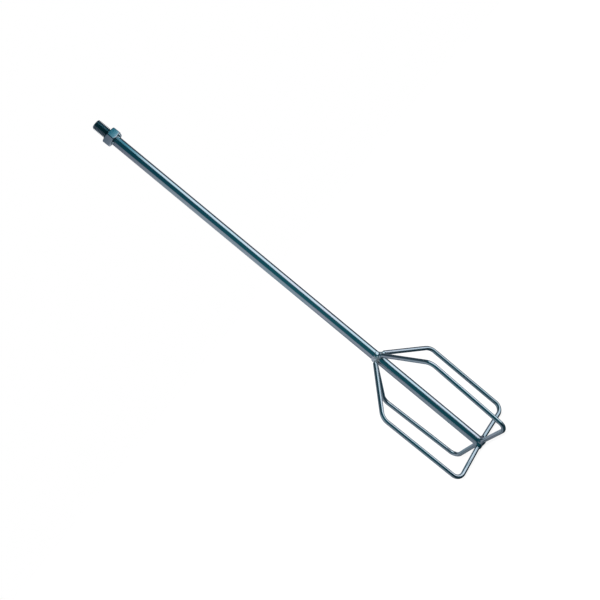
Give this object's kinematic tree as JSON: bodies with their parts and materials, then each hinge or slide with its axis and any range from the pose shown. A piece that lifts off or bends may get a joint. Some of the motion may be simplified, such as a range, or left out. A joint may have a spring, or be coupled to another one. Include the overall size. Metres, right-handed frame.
{
  "type": "mortar mixing paddle",
  "caption": "Zinc-plated mixing paddle: a long round rod with a threaded drive stud and welded hex nut, and an open basket of bent round wires welded to its lower end.",
  "frame": {"origin": "on the rod's axis, in the upper face of the hex nut, which is the shoulder that the mixer's spindle is tightened against", "axes": "+Z along the rod towards the threaded drive end, so the basket hangs at -Z; +X towards basket_wire_1"},
  "size_m": [0.1359, 0.1357, 0.6311],
  "materials": {
    "zinc_rod": "bright blue-passivated zinc plating, glossy",
    "zinc_nut": "bright blue-passivated zinc plating, satin",
    "zinc_wire": "bright blue-passivated zinc plating, glossy drawn wire",
    "zinc_weld": "zinc plating over rough weld metal"
  },
  "bodies": {
    "root": {"threaded_rod": "zinc_rod", "hex_nut": "zinc_nut", "nut_weld_bead": "zinc_weld", "nut_weld_drop": "zinc_weld", "basket_wire_1": "zinc_wire", "basket_wire_2": "zinc_wire", "basket_wire_3": "zinc_wire", "basket_wire_4": "zinc_wire", "upper_weld_1": "zinc_weld", "upper_weld_2": "zinc_weld", "upper_weld_3": "zinc_weld", "upper_weld_4": "zinc_weld", "lower_weld_1": "zinc_weld", "lower_weld_2": "zinc_weld", "lower_weld_3": "zinc_weld", "lower_weld_4": "zinc_weld"}
  },
  "joints": []
}
